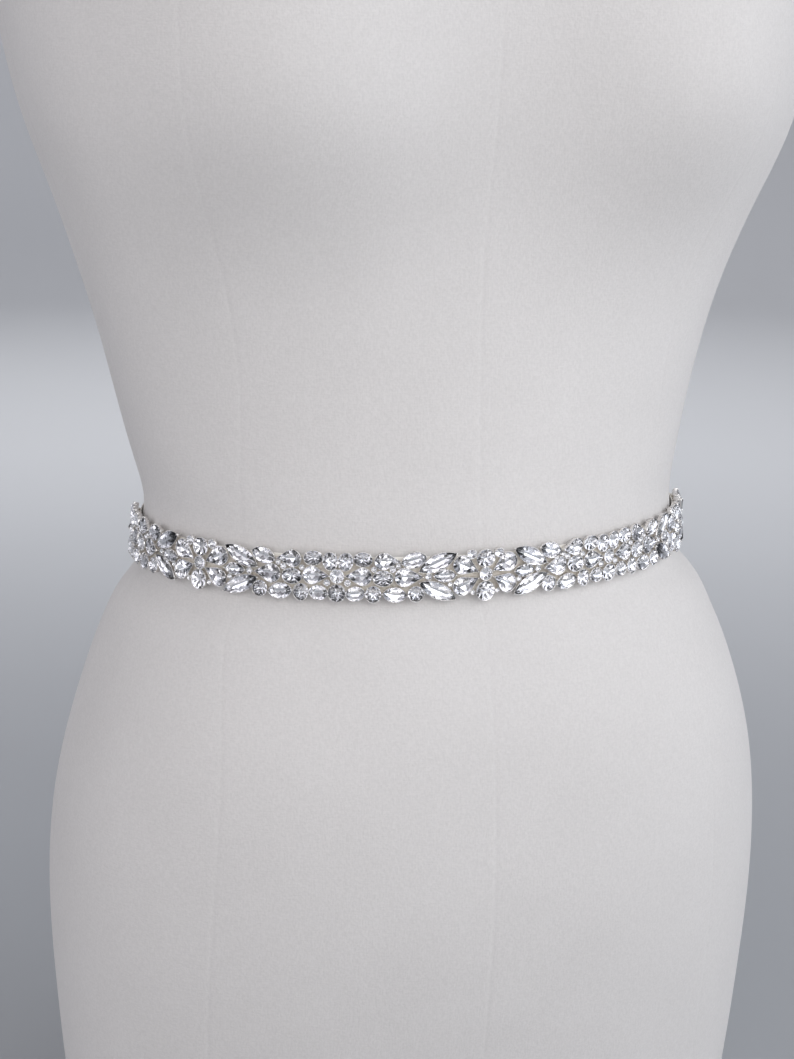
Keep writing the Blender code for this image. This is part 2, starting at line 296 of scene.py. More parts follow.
def panelPlaces(lengths, columns):
    # places along one ring between two seams: close together at the seams, even between them
    near = np.array(formCover["nearSeamMm"]) * mm
    near = near * min(1.0, lengths / (4 * near[-1]))
    inner = np.linspace(near[-1], lengths - near[-1], columns)
    return np.concatenate([near[:-1], inner, lengths - near[:-1][::-1]])


def sewn(height, stretch):
    low, high = sewnStretch[stretch]
    rise = 1 if low == 0 else np.clip((height - low) / formCover["seamFadeMm"], 0, 1)
    return rise * np.clip((high - height) / formCover["seamFadeMm"], 0, 1)


def formRows():
    edge = formCover["edgeRoundMm"] * mm
    step = formCover["rowStepMm"] * mm
    top = ringHeights[-1]
    rounds = [edge * (1 - math.cos(t)) for t in np.linspace(0, math.pi / 2, 5)]
    neck = [(formCover["neckSeamMm"] + row) * mm for row in formCover["neckSeamRows"]]
    middle = np.arange(rounds[-1] + step / 2, top - rounds[-1] - step / 4, step)
    middle = [row for row in middle if min(abs(row - n) for n in neck) > formCover["seamHalfWidthMm"] * mm]
    return np.array(rounds + sorted(middle + neck) + [top - r for r in reversed(rounds)])


def bothSides(half, sign=1):
    # mirrors one side's values to the other; the centre front and centre back columns are shared
    return np.concatenate([sign * half[::-1][:-1], half[:-1]])


def coverColumns(height, along, turn, seams):
    # (places along the ring, how deep the seams are there, how full the panels are), from the centre back
    half, weight = formCover["seamHalfWidthMm"] * mm, formCover["seamWeight"]
    seamTurns = [0.0, *seams, 180.0]
    strength = [sewn(height / mm, s) for s in ("centre", "front", "side", "back", "centre")]
    strength[2] = max(strength[2], sewn(height / mm, "shoulder"))
    places, inset, crown = [0.0], [weight[0] * strength[0]], [0.0]
    for i, columns in enumerate(formCover["panelColumns"]):
        start, end = np.interp([seamTurns[i], seamTurns[i + 1]], turn, along)
        for offset in panelPlaces(end - start, columns):
            fromStart, fromEnd = offset / half, (end - start - offset) / half
            inset.append(weight[i] * strength[i] * math.exp(-fromStart ** 2)
                         + weight[i + 1] * strength[i + 1] * math.exp(-fromEnd ** 2))
            share = offset / (end - start)
            crown.append((4 * share * (1 - share)) ** 0.5 * min(strength[i], strength[i + 1]))
            places.append(start + offset)
        places.append(end)
        inset.append(weight[i + 1] * strength[i + 1])
        crown.append(0)
    places, inset, crown = (np.array(v) for v in (places, inset, crown))
    neck = math.exp(-((height / mm - formCover["neckSeamMm"]) / formCover["seamHalfWidthMm"]) ** 2)
    return bothSides(places, -1), bothSides(inset + formCover["neckSeamWeight"] * neck), bothSides(crown)


def buildFormCover(material):
    rows = formRows()
    table = np.array(seamRows, float)
    turns = splineThrough(table[:, 0], table[:, 1:], rows / mm)
    edge = formCover["edgeRoundMm"] * mm
    points, layout = [], []
    for height, ring, seams in zip(rows, ringsAt(rows), turns):
        curve, along, turn = fineRing(ring)
        places, inset, crown = coverColumns(height, along, turn, seams)
        x, y = (np.interp(places, along, curve[:, axis]) for axis in (0, 1))
        run = np.column_stack([np.gradient(x), np.gradient(y)])
        away = np.column_stack([run[:, 1], -run[:, 0]]) / np.hypot(*run.T)[:, None]
        depth = min(height, ringHeights[-1] - height)
        corner = edge - math.sqrt(max(edge ** 2 - (edge - depth) ** 2, 0)) if depth < edge else 0
        waist = math.exp(-((height - waistHeight) / (formCover["waistFadeMm"] * mm)) ** 2)
        lift = (formCover["panelCrownMm"] * crown * (1 - waist) - formCover["seamDepthMm"] * inset) * mm
        x, y = x + away[:, 0] * (lift - corner), y + away[:, 1] * (lift - corner)
        points += [(a, b, height) for a, b in zip(x, y)]
        layout += [(s, height) for s in places]
    columns = len(points) // len(rows)
    faces = ringFaces(len(rows), columns)
    for row, flip in ((0, True), (len(rows) - 1, False)):  # flat underside, and the covered top of the neck
        previous = list(range(row * columns, (row + 1) * columns))
        rim = np.array([points[i] for i in previous])
        centre = rim.mean(axis=0)
        rise = 0 if flip else formCover["capCrownMm"] * mm
        for share in (*formCover["capShares"], 0):
            first, count = len(points), columns if share else 1
            dome = np.array([0, 0, (1 - share * share) * rise])
            points += [tuple(centre + (p - centre) * share + dome) for p in rim[:count]]
            layout += [(p[0], p[1]) if share else (0, 0) for p in points[first:]]
            for j in range(columns):
                k = (j + 1) % columns
                inner = (first + k, first + j) if share else (first,)
                face = (previous[j], previous[k], *inner)
                faces.append(face[::-1] if flip else face)
            previous = list(range(first, first + count))
    return addMesh("formCover", points, faces, [material], layout=layout)


def makeCoverCloth():
    # Cotton and elastane cover, woven close and stretched: matt, with a faint uneven grain and a little bloom
    # Threads are 0.3 mm; drawn coarser to show
    cloth = {"threadMm": 0.55, "slubMm": 3.5, "grainMm": 1.0, "patchMm": 45}
    material, tree, shader = startMaterial("wovenCottonCover", "#CDCAC8", Roughness=0.9, IOR=1.46,
                                           Sheen_Weight=0.12, Sheen_Roughness=0.5, Specular_IOR_Level=0.25)
    place = addNode(tree, "UVMap", uv_map="cloth")
    solid = addNode(tree, "TexCoord")
    thread, slub = 1 / (cloth["threadMm"] * mm), 1 / (cloth["slubMm"] * mm)
    weave = []
    for scale in ((thread, slub, 1), (slub, thread, 1)):  # warp, then weft
        run = addNode(tree, "Mapping", {"Vector": place, "Scale": scale})
        weave.append(addNode(tree, "TexNoise", {"Vector": run, "Scale": 1.0, "Detail": 2.0}))
    woven = addNode(tree, "Math", {0: weave[0], 1: weave[1]}, operation="MULTIPLY")
    grain = addNode(tree, "TexNoise", {"Vector": solid.outputs["Object"], "Detail": 3.0,
                    "Scale": 1 / (cloth["grainMm"] * mm)})
    patch = addNode(tree, "TexNoise", {"Vector": solid.outputs["Object"], "Detail": 2.0,
                    "Scale": 1 / (cloth["patchMm"] * mm)})
    height = addNode(tree, "Math", {0: woven, 1: grain}, operation="ADD")
    bump = addNode(tree, "Bump", {"Height": height, "Strength": 0.38, "Distance": 0.3 * mm})
    tone = addNode(tree, "ValToRGB", {0: patch}, ((0.3, "#CCC9C7"), (0.7, "#CFCCCA")))
    speckle = addNode(tree, "MapRange", {0: height, 1: 0.55, 2: 0.95, 3: 0.958, 4: 1.034})
    mixed = addNode(tree, "Mix", {0: 1.0, 6: tone, 7: speckle}, data_type="RGBA", blend_type="MULTIPLY")
    setInputs(tree, shader, {"Normal": bump, "Base Color": mixed.outputs[2]})
    return material


formPiece = buildFormCover(makeCoverCloth())
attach(formPiece, "root")
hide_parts("dress_form")
print("dress form:", len(formPiece.data.polygons), "faces")

# ---- satin ribbon

ribbonShape = {
    "widthMm": 14.4,
    "clothMm": 0.45,  # double-faced satin
    "seatMm": 0.3,
    "layersMm": 1.0,  # the ribbon and its turned end together
    "lapMm": 26.0,
    "riseMm": 24.0,
    "flatMm": 1.5,
    "upperOutMm": 4.0,
    "turnedMm": 9.0,  # how much of each end is folded under
    "foldStartMm": 1.0,  # the cloth begins to turn this far from its end
    "foldReachMm": 0.75,  # and its round reaches this far out from there
    "foldOpen": 0.35,  # radians left open at both ends of that round
    "foldBackMm": 1.2,  # where the folded-under stretch begins, from the end
    "stepMm": 2.0,
    "waveMm": 0.14,  # the free ribbon waves by this much; the wave dies out near the crystals and the ends
    "waveLengthsMm": (4.7, 17),
    "waveFadeMm": (12, 10),
}
# Where the crystals begin and end, in mm round from the centre front: they reach further on the form's right.
trimRange = {"firstMm": -178.2, "lastMm": 144.6, "tapeMarginMm": 0.8}


def ribbonLevel(along):
    # how far out the ribbon's underside lies: its upper end climbs over the lower one at the back
    shape = ribbonShape
    climbEnd = halfGirth - shape["lapMm"] / 2 - shape["flatMm"]
    share = np.clip((along - climbEnd + shape["riseMm"]) / shape["riseMm"], 0, 1)
    return shape["seatMm"] + (shape["upperOutMm"] - shape["seatMm"]) * share * share * (3 - 2 * share)


def ribbonStations():
    # (along, out) of the cloth's middle line, from the one turned end to the other
    shape = ribbonShape
    end = halfGirth + shape["lapMm"] / 2
    half = shape["clothMm"] / 2
    outer = shape["layersMm"] - half
    short, long = shape["waveLengthsMm"]
    nearTrim, nearEnd = shape["waveFadeMm"]
    turned, reach, openTurn = shape["foldStartMm"], shape["foldReachMm"], shape["foldOpen"]
    stations = []
    for along in np.linspace(-end + turned, end - turned, int(2 * end / shape["stepMm"])):
        past = max(trimRange["firstMm"] - along, along - trimRange["lastMm"])
        free = np.clip(past / nearTrim, 0, 1) * np.clip((end - abs(along)) / nearEnd, 0, 1)
        wave = shape["waveMm"] * free * math.sin(along / short) * math.sin(along / long + 0.6)
        stations.append((along, ribbonLevel(along) + outer + wave))
    folds = []
    bend = (outer - half) / 2
    for along, side in ((end, 1), (-end, -1)):
        inner = ribbonLevel(along) + half
        arc = [(along - side * (turned - reach * math.sin(t)), inner + bend + bend * math.cos(t))
               for t in np.linspace(openTurn, math.pi - openTurn, 6)]
        runs = np.linspace(shape["foldBackMm"], shape["turnedMm"], 6)
        folds.append(arc + [(along - side * run, inner) for run in runs])
    return folds[1][::-1] + stations + folds[0]


def clothStrip(name, stations, width, thickness, material):
    # a strip of cloth with rounded edges, run along the waist through stations given as (along, out)
    across, edgeTurns = 8, (0.8, 1.57, 2.34)  # points over each face, and radians round each edge
    along, out = np.array(stations).T
    length = lengthAlong(stations)
    run = np.column_stack([np.gradient(along), np.gradient(out)])
    run /= np.hypot(*run.T)[:, None]
    side = np.column_stack([-run[:, 1], run[:, 0]])
    half = thickness / 2
    edge = width / 2 - half
    loop = [(u, half) for u in np.linspace(-edge, edge, across)]
    loop += [(edge + half * math.sin(t), half * math.cos(t)) for t in edgeTurns]
    loop += [(u, -half) for u in np.linspace(edge, -edge, across)]
    loop += [(-edge - half * math.sin(t), half * math.cos(t)) for t in reversed(edgeTurns)]
    rings, layout = [], []
    for up, lift in loop:
        rings.append(onWaist(along + side[:, 0] * lift, up, out + side[:, 1] * lift))
        layout.append(np.column_stack([np.full(len(along), up * mm), length * mm]))
    rings, layout = (np.array(v).transpose(1, 0, 2) for v in (rings, layout))
    count, size = rings.shape[:2]
    faces = [f[::-1] for f in ringFaces(count, size)]
    faces += [tuple(range(size)), tuple(reversed(range((count - 1) * size, count * size)))]
    return addMesh(name, rings.reshape(-1, 3), faces, [material], layout=layout.reshape(-1, 2)), length[-1]


def makeSatin():
    # Polyester satin woven face up on both sides: long smooth floats give a soft streak across the ribbon
    satin = {"floatMm": 0.6, "slubMm": 7.0}  # floats are 0.1 mm; drawn coarser to show
    material, tree, shader = startMaterial("wovenSatinRibbon", "#EFEBE4", Roughness=0.36, IOR=1.54,
                                           Sheen_Weight=0.25, Sheen_Roughness=0.35, Anisotropic=0.5)
    place = addNode(tree, "UVMap", uv_map="cloth")
    stretch = addNode(tree, "Mapping", {"Vector": place,
                      "Scale": (1 / (satin["floatMm"] * mm), 1 / (satin["slubMm"] * mm), 1)})
    floats = addNode(tree, "TexNoise", {"Vector": stretch, "Scale": 1.0, "Detail": 3.0})
    bump = addNode(tree, "Bump", {"Height": floats, "Strength": 0.16, "Distance": 0.12 * mm})
    tone = addNode(tree, "ValToRGB", {0: floats}, ((0.25, "#E6E1D9"), (0.75, "#F4F1EB")))
    setInputs(tree, shader, {"Normal": bump, "Base Color": tone})
    return material


ribbonPiece, ribbonLengthMm = clothStrip("satinRibbon", ribbonStations(), ribbonShape["widthMm"],
                                         ribbonShape["clothMm"], makeSatin())
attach(ribbonPiece, "root")
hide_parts("satin_ribbon")
print("satin ribbon:", round(ribbonLengthMm), "mm long with its turned ends")

# ---- crystal trim

trimShape = {
    "outMm": 1.6,  # the tape's underside above the form
    "tapeMm": 0.9,
    "tapeWidthMm": 12.6,
    "tapeStepMm": 2.5,
    "stoneSeatMm": 1.0,  # where the settings start above that underside
    "girdleMm": 1.55,  # heights above the settings' seat
    "tableMm": 2.5,
    "repeatMm": 55.0,
    "repeats": 4,
    "tiltDegrees": 3.5,
    "metalMm": 0.12,
    "spreadMm": 0.16,  # the rim, rolled over the girdle, stands this far past the cup's own outline
}
# Stones from the middle of a flower (along 0) to the middle of a blossom (along 55), in mm; turn is in
# degrees, and a pear's tip points that way.
flowerColumn = [
    ("round", 0.0, 0.0, 5.2, 5.2, 0),
    ("oval", 0.0, 6.2, 7.4, 7.0, 0),
    ("oval", 0.0, -6.6, 7.8, 7.4, 90),
]
blossomColumn = [
    ("round", 55.0, 0.1, 5.4, 5.4, 0),
    ("round", 55.0, -6.4, 6.8, 6.8, 0),
]
halfRepeat = [
    # the flower's petals and a seed between two of them
    ("pear", 7.5, 3.4, 10.6, 7.4, 206),
    ("pear", 7.4, -3.6, 10.6, 7.4, 153),
    ("round", 5.3, 8.0, 3.6, 3.6, 0),
    # the leaf pair, open towards the flower, with a bud between
    ("marquise", 18.2, 5.4, 16.0, 6.4, 154),
    ("marquise", 18.2, -5.4, 16.0, 6.4, 206),
    ("marquise", 15.6, 0.0, 8.8, 4.8, 0),
    # upper row, its last oval a petal of the blossom
    ("marquise", 27.0, 6.6, 10.0, 6.2, 163),
    ("pear", 37.0, 6.3, 10.0, 6.8, 184),
    ("oval", 45.8, 6.9, 7.2, 5.8, 6),
    ("oval", 52.1, 5.9, 7.2, 5.8, 98),
    # middle row
    ("pear", 28.8, 0.0, 10.8, 7.4, 180),
    ("oval", 38.2, -0.4, 7.8, 6.2, 0),
    ("pear", 47.2, 0.3, 10.2, 7.0, 0),
    # lower row
    ("round", 26.1, -6.5, 6.2, 6.2, 0),
    ("marquise", 34.0, -6.6, 9.6, 6.2, 8),
    ("oval", 41.8, -6.5, 6.6, 6.0, 90),
    ("marquise", 48.3, -6.4, 7.6, 5.8, 173),
]


def withinTrim(stone):
    _, along, _, length, _, _ = stone
    return trimRange["firstMm"] <= along - length / 2 and along + length / 2 <= trimRange["lastMm"]


def repeated(half, middle):
    # the half repeat, mirrored along the band and cut off at both ends; middle stands on the flower's column
    shape = trimShape
    side = []
    for number in range(shape["repeats"]):
        start, outward = number * shape["repeatMm"], number % 2 == 0
        for cut, along, up, length, width, turn in half(outward):
            if not outward:
                along, turn = shape["repeatMm"] - along, 180 - turn
            side.append((cut, along + start, up, length, width, turn))
    whole = middle + side + [(c, -a, u, l, w, 180 - t) for c, a, u, l, w, t in side]
    return [stone for stone in whole if withinTrim(stone)]


def trimStones():
    # every stone as (cut, along, up, length, width, turn), mirrored from repeat to repeat
    return repeated(lambda outward: halfRepeat + (blossomColumn if outward else flowerColumn), flowerColumn)


# The small chatons: how big, how far from the stones round them, and how the gaps are searched.
fillers = {
    "largestMm": 2.5,
    "smallestMm": 1.9,
    "gapMm": 0.12,
    "edgeMm": 8.3,  # half the height that they may fill
    "stepMm": 0.25,
    "searchMm": 8.0,
    "reachMm": 12,  # stones this far past a mirror line still matter
    "onLineMm": 0.1,
    "outlinePoints": 40,
}


def clearOf(outline, places):
    # distance from each place to a stone's outline, negative inside it
    ends = np.roll(outline, -1, axis=0)
    run = ends - outline
    share = ((places[:, None] - outline) * run).sum(-1) / (run ** 2).sum(-1)
    nearest = outline + np.clip(share, 0, 1)[..., None] * run
    distance = np.sqrt(((places[:, None] - nearest) ** 2).sum(-1)).min(1)
    x, y = places[:, :1], places[:, 1:]
    crosses = (outline[:, 1] > y) != (ends[:, 1] > y)
    rise = np.where(run[:, 1] == 0, 1e-9, run[:, 1])
    left = x < outline[:, 0] + (y - outline[:, 1]) / rise * run[:, 0]
    return np.where((crosses & left).sum(1) % 2 == 1, -distance, distance)


def fillGaps():
    # small round chatons, each in the widest gap that is left in the half repeat, until none is wide enough
    repeat, shape = trimShape["repeatMm"], fillers
    half = halfRepeat + blossomColumn + flowerColumn
    reach = shape["reachMm"]
    half += [(c, -a, u, l, w, 180 - t) for c, a, u, l, w, t in half if a < reach]
    half += [(c, 2 * repeat - a, u, l, w, 180 - t) for c, a, u, l, w, t in half if a > repeat - reach]
    across, up = np.meshgrid(np.arange(0, repeat + 0.1, shape["stepMm"]),
                             np.arange(-shape["searchMm"], shape["searchMm"] + 0.1, shape["stepMm"]))
    places = np.column_stack([across.ravel(), up.ravel()])
    clear = shape["edgeMm"] - np.abs(places[:, 1])
    for cut, along, height, length, width, turn in half:
        outline = cutOutline(cut, length, width, shape["outlinePoints"])
        cosine, sine = math.cos(math.radians(turn)), math.sin(math.radians(turn))
        outline = outline @ np.array([[cosine, sine], [-sine, cosine]]) + (along, height)
        clear = np.minimum(clear, clearOf(outline, places))
    found = []
    while True:
        radius = clear - shape["gapMm"]
        mirror = np.minimum(places[:, 0], repeat - places[:, 0])  # on a mirror line, or well clear of it
        radius = np.where(mirror > shape["onLineMm"], np.minimum(radius, mirror - shape["gapMm"] / 2), radius)
        best = int(np.argmax(radius))
        size = min(2 * radius[best], shape["largestMm"])
        if size < shape["smallestMm"]:
            return found
        found.append(("round", places[best, 0], places[best, 1], size, size, 0))
        clear = np.minimum(clear, np.hypot(*(places - places[best]).T) - size / 2)


def smallStones():
    half = fillGaps()
    onFlower = [stone for stone in half if stone[1] < fillers["onLineMm"]]
    onBlossom = [stone for stone in half if stone[1] > trimShape["repeatMm"] - fillers["onLineMm"]]
    between = [stone for stone in half if stone not in onFlower + onBlossom]
    return repeated(lambda outward: between + (onBlossom if outward else onFlower), onFlower)


def cutOutline(cut, length, width, count):
    # count points evenly along the cut's outline, anticlockwise from its tip; it is drawn finely first
    halfLength, halfWidth = length / 2, width / 2
    if cut == "pear":
        bowl = halfWidth - halfLength
        meets = math.acos(halfWidth / (halfLength - bowl))
        arc = np.linspace(meets, 2 * math.pi - meets, 240)
        dense = np.column_stack([bowl + halfWidth * np.cos(arc), halfWidth * np.sin(arc)])
        dense = np.vstack([[halfLength, 0], dense, [halfLength, 0]])
    elif cut == "marquise":
        radius = (halfLength ** 2 + halfWidth ** 2) / (2 * halfWidth)
        reach = math.asin(halfLength / radius)
        arc = np.linspace(reach, -reach, 120)
        upper = np.column_stack([radius * np.sin(arc), radius * np.cos(arc) - (radius - halfWidth)])
        dense = np.vstack([upper, -upper[1:]])
    else:
        arc = np.linspace(0, 2 * math.pi, 361)
        dense = np.column_stack([halfLength * np.cos(arc), halfWidth * np.sin(arc)])
    steps = lengthAlong(dense)
    places = np.linspace(0, steps[-1], count, endpoint=False)
    return np.column_stack([np.interp(places, steps, dense[:, axis]) for axis in (0, 1)])


def stonePlace(stone, tilt):
    # turns a stone's own millimetres (long axis, short axis, height) into metres on the band
    _, along, up, _, _, turn = stone
    centre = onWaist(along, up, trimShape["outMm"] + trimShape["stoneSeatMm"])
    ahead = onWaist(along + 0.5, up, trimShape["outMm"]) - onWaist(along - 0.5, up, trimShape["outMm"])
    ahead /= np.linalg.norm(ahead)
    upright = onWaist(along, up + 0.5, 0) - onWaist(along, up - 0.5, 0)
    upright /= np.linalg.norm(upright)
    away = np.cross(ahead, upright)
    angle = math.radians(turn)
    first = ahead * math.cos(angle) + upright * math.sin(angle)
    second = np.cross(away, first)
    rock = Matrix.Rotation(tilt[0], 3, Vector(first)) @ Matrix.Rotation(tilt[1], 3, Vector(second))
    axes = np.array([np.array(rock @ Vector(v)) for v in (first, second, away)])
    return lambda local: centre + np.asarray(local) @ axes * mm


# How every stone is ground, and then each cut: its table, belly and keel as shares of its length and width,
# and its depth below the girdle as a share of its width.
stoneShape = {
    "sides": 8,
    "smallSides": 6,
    "smallWidthMm": 3.8,  # below this width a stone has fewer sides
    "squat": 0.72,  # a chaton's height against a large stone's
    "bandMm": 0.12,  # the girdle's own height
    "shoulder": 0.83,  # the crown's middle ring, as a share of the girdle and of the crown's height
    "shoulderRise": 0.56,
    "sag": 0.62,  # the belly's share of the depth
    "floorMm": 0.2,  # the least room under the keel
    "centring": 0.5,  # how far the table moves back to the middle of an uneven outline
}
cutShape = {
    "round": {"table": (0.56, 0.56), "belly": (0.60, 0.60), "keel": (0.12, 0.12), "depth": 0.27},
    "oval": {"table": (0.56, 0.56), "belly": (0.60, 0.60), "keel": (0.12, 0.12), "depth": 0.25},
    "pear": {"table": (0.66, 0.38), "belly": (0.68, 0.52), "keel": (0.68, 0.05), "depth": 0.17},
    "marquise": {"table": (0.72, 0.30), "belly": (0.72, 0.50), "keel": (0.76, 0.04), "depth": 0.15},
}


def stoneHeights(width):
    # girdle and table above the tape; the small chatons sit lower
    squat = 1.0 if width > fillers["largestMm"] else stoneShape["squat"]
    return trimShape["girdleMm"] * squat, trimShape["tableMm"] * squat


def brilliant(stone):
    # a faceted stone as (points, faces, which faces are foiled), in its own millimetres
    cut, _, _, length, width, _ = stone
    shape, whole = cutShape[cut], stoneShape
    sides = whole["smallSides"] if width < whole["smallWidthMm"] else whole["sides"]
    grow = trimShape["spreadMm"] - 2 * trimShape["metalMm"]
    girdle = cutOutline(cut, length + grow, width + grow, 2 * sides)
    corners, middles = girdle[0::2], girdle[1::2]
    low, high = stoneHeights(width)
    under, depth = low - whole["bandMm"], min(shape["depth"] * width, low - whole["floorMm"])
    table = corners * shape["table"]
    table = table + (corners.mean(axis=0) - table.mean(axis=0)) * whole["centring"]
    rings = [(girdle, low), (girdle, under),
             (middles * whole["shoulder"], low + whole["shoulderRise"] * (high - low)),
             (table, high),
             (middles * shape["belly"], under - whole["sag"] * depth),
             (corners * shape["keel"], under - depth)]
    points = [(*p, height) for ring, height in rings for p in ring]
    rim, up, top, down, tip = (k * sides for k in (2, 4, 5, 6, 7))  # where each ring after the girdle starts
    faces, foiled = [tuple(top + i for i in range(sides))], [0]
    for i in range(sides):
        j, before = (i + 1) % sides, (i - 1) % sides
        even, odd, nextEven = 2 * i, 2 * i + 1, 2 * j
        faces += [
            (top + i, up + i, top + j), (top + i, up + before, even), (top + i, even, up + i),
            (even, odd, up + i), (odd, nextEven, up + i),
            (rim + even, rim + odd, odd, even), (rim + odd, rim + nextEven, nextEven, odd),
            (rim + odd, rim + even, down + i), (rim + nextEven, rim + odd, down + i),
            (rim + even, down + before, tip + i), (rim + even, tip + i, down + i),
            (tip + i, tip + j, down + i),
        ]
        foiled += [0] * 7 + [1] * 5
    faces.append(tuple(tip + i for i in reversed(range(sides))))
    foiled.append(1)
    return np.array(points), faces, foiled


# The cup and its claws, in mm; the claws' turns are degrees round the stone from its tip.
clawTurns = {"round": (45, 135, 225, 315), "oval": (40, 140, 220, 320),
             "pear": (0, 118, 180, 242), "marquise": (0, 68, 112, 180, 248, 292)}
clawPath = [
    # reach past the cup, height above the girdle, half width
    (0.08, -0.1, 0.34),
    (0.06, 0.35, 0.32),
    (-0.18, 0.62, 0.30),
    (-0.50, 0.78, 0.27),
    (-0.74, 0.76, 0.14),
]
cupShape = {
    "points": 24,
    "smallPoints": 12,
    "claw": 0.75,  # the claws' size against the table above
    "smallClaw": 0.5,
    "clawSides": 6,
    "clawFlat": 0.75,
    "clawSteepMm": 0.5,  # above this height a claw bends inwards
    "clawFoot": (0.02, 0.2, 0.34),  # its foot's reach, height above the tape and half width
}


def setting(stone):
    # the metal cup round a stone and the claws bent over its edge, in the stone's own millimetres
    cut, _, _, length, width, _ = stone
    small = width <= fillers["largestMm"]
    metal, (low, _) = trimShape["metalMm"], stoneHeights(width)
    count, size = (cupShape[k] for k in (("smallPoints", "smallClaw") if small else ("points", "claw")))
    length, width = length + trimShape["spreadMm"], width + trimShape["spreadMm"]
    outer = cutOutline(cut, length, width, count)
    inner = cutOutline(cut, length - 2 * metal, width - 2 * metal, count)
    # the cup's wall, up the outside, over the rim and down inside
    profile = [(outer * 0.90, -0.45), (outer * 0.97, low * 0.55), (outer, low + 0.02), (inner, low + 0.08),
               (inner * 0.97, low - 0.25)]
    points = [(*p, height) for ring, height in profile for p in ring]
    faces = ringFaces(len(profile), count)
    faces.append(tuple(reversed(range(count))))  # the cup's closed back
    turns = np.degrees(np.arctan2(outer[:, 1], outer[:, 0])) % 360
    reach, rise, radius = cupShape["clawFoot"]
    path, sides = [(reach, rise - low, radius)] + clawPath, cupShape["clawSides"]
    for turn in clawTurns[cut]:
        at = int(np.argmin(np.abs((turns - turn + 180) % 360 - 180)))
        run = outer[(at + 1) % count] - outer[at - 1]
        away = np.array([run[1], -run[0]]) / np.hypot(*run)
        across = np.array([away[1], -away[0]])
        first = len(points)
        for reach, rise, radius in path:
            for k in range(sides):
                t = 2 * math.pi / sides * k
                lift = radius * size * cupShape["clawFlat"] * math.sin(t)
                place = outer[at] + (away * reach + across * radius * math.cos(t)) * size
                height = low + (rise * size if rise > 0 else rise)
                if rise > cupShape["clawSteepMm"]:
                    height = height + lift
                else:
                    place = place + away * lift
                points.append((*place, height))
        faces += ringFaces(len(path), sides, first=first)
        faces.append(tuple(first + (len(path) - 1) * sides + k for k in range(sides)))
    return np.array(points), faces


def makeCrystal():
    # Cut and polished lead crystal: clear, bright, with sharp facet edges
    return startMaterial("cutLeadCrystal", "#FFFFFF", Roughness=0.0, IOR=1.56, Transmission_Weight=1.0)[0]


def makeFoil():
    # Silver mirror coating on the stone's back: throws light back up through the facets
    return startMaterial("vacuumSilverFoil", "#FCFCFF", Roughness=0.11, Metallic=1.0)[0]


def makeSilverPlate():
    # Stamped brass cups, silver plated: bright, a little softened by handling
    plate = {"wearMm": 2.5}
    material, tree, shader = startMaterial("stampedSilverPlate", "#F3F1EE", Roughness=0.2, Metallic=1.0)
    solid = addNode(tree, "TexCoord")
    wear = addNode(tree, "TexNoise", {"Vector": solid.outputs["Object"], "Detail": 3.0,
                   "Scale": 1 / (plate["wearMm"] * mm)})
    rough = addNode(tree, "MapRange", {0: wear, 1: 0.3, 2: 0.7, 3: 0.14, 4: 0.34})
    tone = addNode(tree, "ValToRGB", {0: wear}, ((0.3, "#E6E2DE"), (0.65, "#F8F7F6")))
    setInputs(tree, shader, {"Roughness": rough, "Base Color": tone})
    return material


def makeTape():
    # Polyester backing net, knitted and stiffened: pale grey, quite matt
    tape = {"meshMm": 0.9}
    material, tree, shader = startMaterial("knittedBackingTape", "#CFC8BE", Roughness=0.8)
    place = addNode(tree, "UVMap", uv_map="cloth")
    knit = addNode(tree, "TexVoronoi", {"Vector": place, "Scale": 1 / (tape["meshMm"] * mm)}, feature="F1")
    bump = addNode(tree, "Bump", {"Height": knit, "Strength": 0.5, "Distance": 0.3 * mm})
    tone = addNode(tree, "ValToRGB", {0: knit}, ((0, "#DDD7CE"), (1, "#BBB2A7")))
    setInputs(tree, shader, {"Normal": bump, "Base Color": tone})
    return material


def joinStones(allStones):
    dice = np.random.default_rng(11)
    glass, metal, slots = ([], []), ([], []), []
    for stone in allStones:
        place = stonePlace(stone, np.radians(dice.normal(0, trimShape["tiltDegrees"], 2)))
        *cut, foiled = brilliant(stone)
        slots += foiled
        for (points, faces), (newPoints, newFaces) in ((glass, cut), (metal, setting(stone))):
            faces += [tuple(len(points) + i for i in face) for face in newFaces]
            points += list(place(newPoints))
    return (addMesh("cutCrystals", *glass, [makeCrystal(), makeFoil()], slots=slots, smooth=False),
            addMesh("stoneSettings", *metal, [makeSilverPlate()]))


largeStones, chatons = trimStones(), smallStones()
crystalPiece, settingPiece = joinStones(largeStones + chatons)
tapeFirst = trimRange["firstMm"] - trimRange["tapeMarginMm"]
tapeLast = trimRange["lastMm"] + trimRange["tapeMarginMm"]
tapeSteps = np.linspace(tapeFirst, tapeLast, int((tapeLast - tapeFirst) / trimShape["tapeStepMm"]))
tapePiece, tapeLengthMm = clothStrip(
    "trimTape", [(along, trimShape["outMm"] + trimShape["tapeMm"] / 2) for along in tapeSteps],
    trimShape["tapeWidthMm"], trimShape["tapeMm"], makeTape())
for piece in (crystalPiece, settingPiece, tapePiece):
    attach(piece, "root")
    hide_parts("crystal_trim")
print("crystal trim:", len(largeStones), "stones,", len(chatons), "chatons,", round(tapeLengthMm), "mm long")

# ---- sewing thread

sewing = {
    "radiusMm": 0.13,
    "edgePitchMm": 4.2,  # slanted stitches over both edges of the tape
    "edgeMarginMm": 2,
    "endPitchMm": 2.6,  # running stitches across each turned end of the ribbon
    "endSpanMm": (-5.8, 4.6),
    "endInsetMm": 7.2,
    "sides": 5,
}
# One stitch over the tape's edge: mm along from its start, past the tape's edge, and out from its underside.
edgeStitch = [(0.0, -0.55, 0.80), (0.2, -0.35, 1.04), (0.55, 0.05, 0.86), (0.85, 0.35, 0.35),
              (1.0, 0.45, -0.38)]
